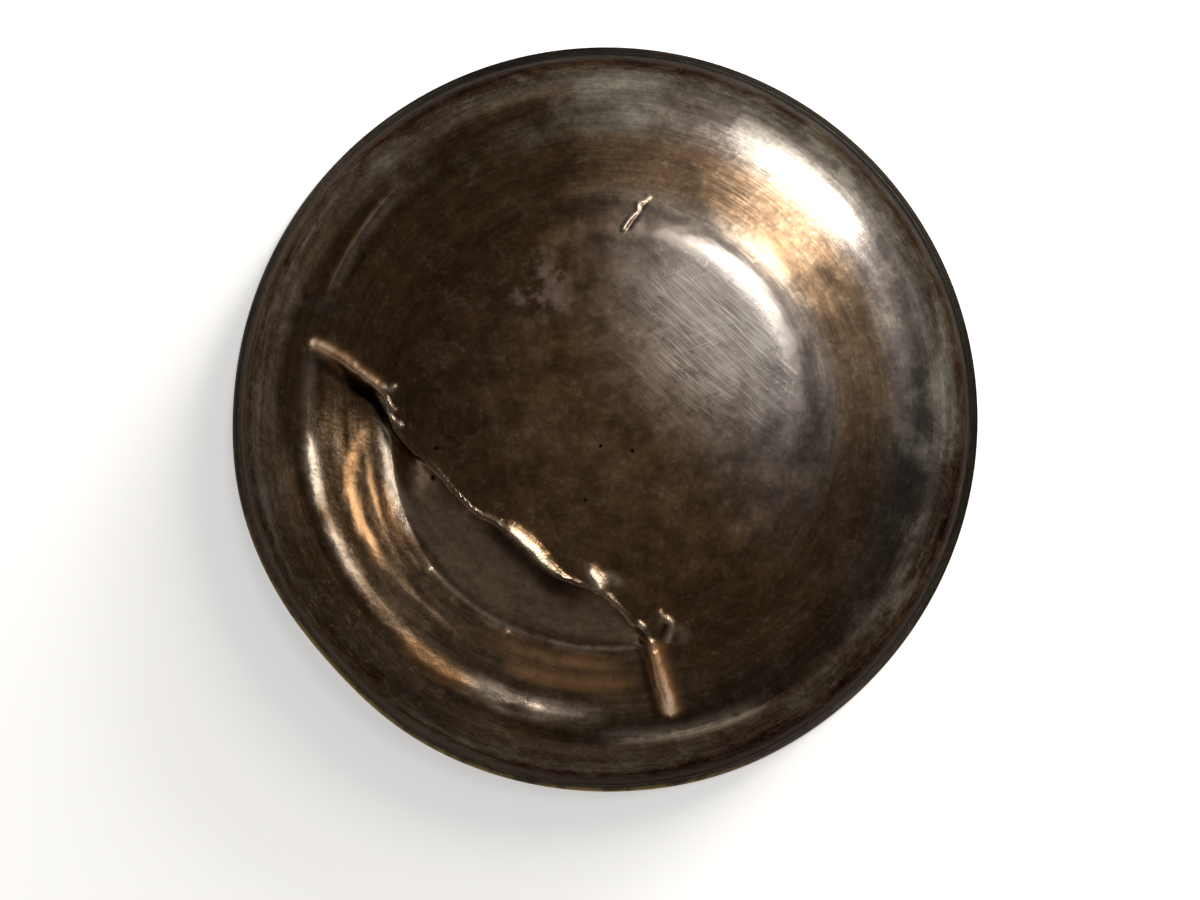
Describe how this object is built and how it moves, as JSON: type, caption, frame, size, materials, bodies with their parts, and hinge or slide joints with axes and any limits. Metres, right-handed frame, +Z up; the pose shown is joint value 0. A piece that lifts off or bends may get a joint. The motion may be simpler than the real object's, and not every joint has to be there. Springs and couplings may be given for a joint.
{
  "type": "offering bowl",
  "caption": "Shallow round offering bowl of tarnished metal, lying mouth down, with a flat base, sloping shoulder, soldered rim wire and a crushed, creased base corner.",
  "frame": {"origin": "centre of the round mouth, in the plane of the rim that the bowl lies on", "axes": "+Z up through the base, which is on top as the bowl lies mouth down; +X and +Y across the mouth, with the crushed corner towards -X and -Y"},
  "size_m": [0.15, 0.15, 0.04],
  "materials": {
    "tarnished_sheet": "raised and polished sheet, brown tarnish over pale metal, rubbed bright on the creases",
    "worn_rim_wire": "drawn wire, tarnished, rubbed bright on its outer edge",
    "grey_solder": "dull grey hard solder"
  },
  "bodies": {
    "root": {"bowl_shell": "tarnished_sheet", "rim_wire": "worn_rim_wire", "rim_solder": "grey_solder"}
  },
  "joints": []
}
